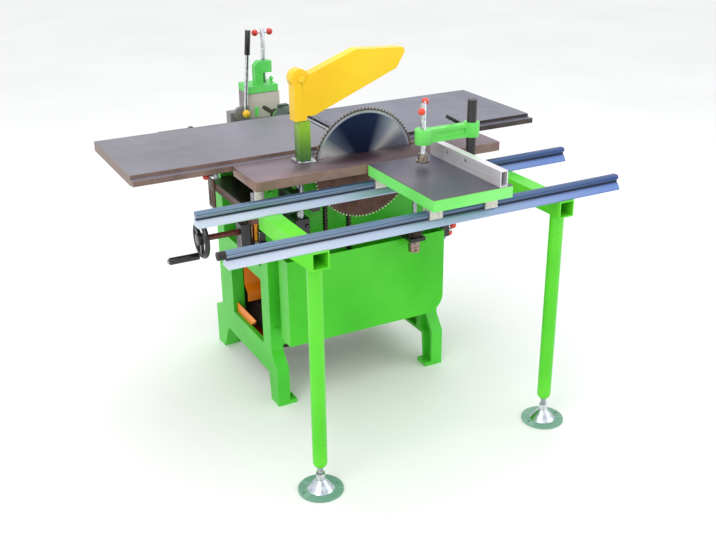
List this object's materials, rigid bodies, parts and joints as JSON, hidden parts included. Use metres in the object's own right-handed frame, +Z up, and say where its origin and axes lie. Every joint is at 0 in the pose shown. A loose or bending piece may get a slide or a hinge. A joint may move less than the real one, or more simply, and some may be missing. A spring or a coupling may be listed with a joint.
{
  "type": "combination woodworking machine",
  "caption": "Floor-standing combination woodworking machine: planer tables over a thicknesser, saw bench with hooded blade, sliding table on rails and a mortising table.",
  "frame": {"origin": "on the floor, in the middle of the four floor bolt holes of the end frames", "axes": "+X along the planer tables towards the right table, +Y away from the saw side towards the mortiser, +Z up"},
  "size_m": [1.357, 1.366, 1.15],
  "materials": {
    "frame_green": "gloss",
    "arm_green": "gloss",
    "box_green": "gloss",
    "chute_orange": "satin",
    "cover_dark": "satin",
    "motor_dark": "satin",
    "dark_steel": "satin",
    "black_iron": "satin",
    "rubber_black": "matt",
    "rail_alloy": "satin",
    "fence_alloy": "brushed",
    "bracket_alloy": "satin",
    "bright_steel": "brushed",
    "chrome_steel": "polished",
    "blade_steel": "polished",
    "machined_iron": "ground",
    "bed_brown": "satin",
    "nut_brass": "satin",
    "grip_black": "matt",
    "knob_red": "gloss",
    "guard_yellow": "gloss",
    "slide_grey": "satin"
  },
  "bodies": {
    "machine": {"left_end_frame": "frame_green", "right_end_frame": "frame_green", "front_wall": "frame_green", "rear_wall": "frame_green", "chip_chute": "chute_orange", "front_cover_box": "box_green", "rear_belt_cover": "cover_dark", "chuck_guard": "frame_green", "motor_body": "motor_dark", "spindle_bearings": "dark_steel", "feed_chain": "rubber_black", "drive_belt": "rubber_black", "support_brackets": "black_iron", "front_rail": "rail_alloy", "rear_rail": "rail_alloy", "rail_stop": "rubber_black", "left_arm": "arm_green", "right_arm": "arm_green", "gear_housing": "black_iron", "mortiser_support": "frame_green", "frame_bolts": "bright_steel"},
    "spindle": {"cutter_block": "bright_steel", "spindle_shaft": "bright_steel", "saw_blade": "blade_steel", "mortise_chuck": "dark_steel"},
    "motor_rotor": {"motor_pulley": "dark_steel"},
    "outfeed": {"outfeed_roller": "bright_steel"},
    "infeed": {"infeed_roller": "bright_steel"},
    "bed": {"thickness_bed": "bed_brown", "bed_nut": "nut_brass"},
    "screw": {"bed_screw": "bright_steel"},
    "handwheel": {"bed_handwheel": "grip_black"},
    "crank": {"crank_grip": "grip_black"},
    "left_planer": {"left_table": "machined_iron"},
    "right_planer": {"right_table": "machined_iron"},
    "lever_left": {"table_lever": "grip_black"},
    "lock_left": {"table_lock": "knob_red"},
    "saw_bench": {"saw_table": "machined_iron", "saw_columns": "bright_steel", "guard_post": "frame_green"},
    "nut": {"lift_nut": "dark_steel"},
    "stem": {"guard_stem": "bright_steel"},
    "guard": {"blade_guard": "guard_yellow"},
    "t_lock": {"column_lock": "knob_red"},
    "slider": {"sliding_frame": "frame_green", "sliding_top": "machined_iron", "carriage_brackets": "bracket_alloy", "cross_fence": "fence_alloy", "hold_post": "black_iron"},
    "clamp_arm": {"hold_arm": "frame_green"},
    "arm_lever": {"hold_lever": "black_iron"},
    "press": {"hold_screw": "chrome_steel"},
    "knee": {"mortiser_knee": "slide_grey"},
    "cross": {"mortiser_slide": "slide_grey"},
    "depth": {"mortiser_body": "slide_grey", "mortiser_clamp": "frame_green"},
    "mortise_press": {"clamp_screw": "chrome_steel"},
    "mortise_lever": {"mortiser_lever": "chrome_steel"},
    "foot_left": {"left_foot": "bright_steel"},
    "foot_right": {"right_foot": "bright_steel"}
  },
  "joints": [
    {"name": "spindle_turn", "type": "hinge", "parent": "machine", "child": "spindle", "pos_m": [-0.026, 0, 0.804], "axis": [0, 1, 0], "continuous": true},
    {"name": "motor_turn", "type": "hinge", "parent": "machine", "child": "motor_rotor", "pos_m": [-0.17, 0.2, 0.15], "axis": [0, 1, 0], "continuous": true},
    {"name": "outfeed_turn", "type": "hinge", "parent": "machine", "child": "outfeed", "pos_m": [-0.096, 0, 0.77], "axis": [0, 1, 0], "continuous": true},
    {"name": "infeed_turn", "type": "hinge", "parent": "machine", "child": "infeed", "pos_m": [0.044, 0, 0.77], "axis": [0, 1, 0], "continuous": true},
    {"name": "handwheel_turn", "type": "hinge", "parent": "machine", "child": "handwheel", "pos_m": [-0.45, -0.24, 0.618], "axis": [1, 0, 0], "range_deg": [0, 4322]},
    {"name": "screw_turn", "type": "hinge", "parent": "machine", "child": "screw", "pos_m": [-0.347, -0.24, 0.6], "axis": [0, 0, 1], "range_deg": [0, 4322]},
    {"name": "bed_lift", "type": "slide", "parent": "machine", "child": "bed", "axis": [0, 0, 1], "range_m": [0, 0.06]},
    {"name": "grip_turn", "type": "hinge", "parent": "handwheel", "child": "crank", "pos_m": [-0.57, -0.24, 0.566], "axis": [1, 0, 0], "continuous": true},
    {"name": "left_table_slide", "type": "slide", "parent": "machine", "child": "left_planer", "axis": [-0.9903, 0, -0.1392], "range_m": [0, 0.022]},
    {"name": "right_table_slide", "type": "slide", "parent": "machine", "child": "right_planer", "axis": [0.9903, 0, -0.1392], "range_m": [0, 0.022]},
    {"name": "table_lever_turn", "type": "hinge", "parent": "left_planer", "child": "lever_left", "pos_m": [-0.395, 0.156, 0.835], "axis": [0, 1, 0], "range_deg": [-50, 0]},
    {"name": "table_lock_turn", "type": "hinge", "parent": "left_planer", "child": "lock_left", "pos_m": [-0.455, -0.225, 0.8], "axis": [0, 0, 1], "range_deg": [-60, 60]},
    {"name": "saw_lift", "type": "slide", "parent": "machine", "child": "saw_bench", "axis": [0, 0, 1], "range_m": [0, 0.045]},
    {"name": "lift_nut_turn", "type": "hinge", "parent": "machine", "child": "nut", "pos_m": [0.13, -0.38, 0.56], "axis": [0, 0, 1], "range_deg": [0, 2315.3]},
    {"name": "guard_lift", "type": "slide", "parent": "saw_bench", "child": "stem", "axis": [0, 0, 1], "range_m": [0, 0.05]},
    {"name": "guard_tip", "type": "hinge", "parent": "stem", "child": "guard", "pos_m": [-0.235, -0.343, 1.085], "axis": [0, 1, 0], "range_deg": [0, 22]},
    {"name": "column_lock_turn", "type": "hinge", "parent": "machine", "child": "t_lock", "pos_m": [0.31, -0.3, 0.512], "axis": [1, 0, 0], "range_deg": [-90, 90]},
    {"name": "sliding_travel", "type": "slide", "parent": "machine", "child": "slider", "axis": [1, 0, 0], "range_m": [-0.5, 0.4]},
    {"name": "hold_arm_slide", "type": "slide", "parent": "slider", "child": "clamp_arm", "axis": [0, 0, 1], "range_m": [0, 0.05]},
    {"name": "hold_lever_turn", "type": "hinge", "parent": "clamp_arm", "child": "arm_lever", "pos_m": [0.209, -0.53, 0.929], "axis": [0, 1, 0], "range_deg": [-30, 45]},
    {"name": "hold_screw_feed", "type": "slide", "parent": "clamp_arm", "child": "press", "axis": [0, 0, 1], "range_m": [-0.014, 0.02]},
    {"name": "knee_lift", "type": "slide", "parent": "machine", "child": "knee", "axis": [0, 0, 1], "range_m": [-0.06, 0]},
    {"name": "cross_travel", "type": "slide", "parent": "knee", "child": "cross", "axis": [1, 0, 0], "range_m": [-0.0134, 0.0134]},
    {"name": "depth_travel", "type": "slide", "parent": "cross", "child": "depth", "axis": [0, 1, 0], "range_m": [0, 0.06]},
    {"name": "mortise_screw_feed", "type": "slide", "parent": "depth", "child": "mortise_press", "axis": [0, 0, 1], "range_m": [-0.004, 0.035]},
    {"name": "mortise_lever_turn", "type": "hinge", "parent": "cross", "child": "mortise_lever", "pos_m": [-0.095, 0.438, 0.789], "axis": [0, 1, 0], "range_deg": [-34, 34]},
    {"name": "left_foot_height", "type": "slide", "parent": "machine", "child": "foot_left", "axis": [0, 0, 1], "range_m": [-0.015, 0.015]},
    {"name": "right_foot_height", "type": "slide", "parent": "machine", "child": "foot_right", "axis": [0, 0, 1], "range_m": [-0.015, 0.015]}
  ],
  "couplings": [
    {"joint": "motor_turn", "follows": "spindle_turn", "ratio": 0.52941},
    {"joint": "infeed_turn", "follows": "outfeed_turn", "ratio": 1},
    {"joint": "handwheel_turn", "follows": "bed_lift", "rad_per_m": 1256.6},
    {"joint": "screw_turn", "follows": "bed_lift", "rad_per_m": 1256.6},
    {"joint": "lift_nut_turn", "follows": "saw_lift", "rad_per_m": 897.6},
    {"joint": "cross_travel", "follows": "mortise_lever_turn", "m_per_rad": 0.022}
  ]
}
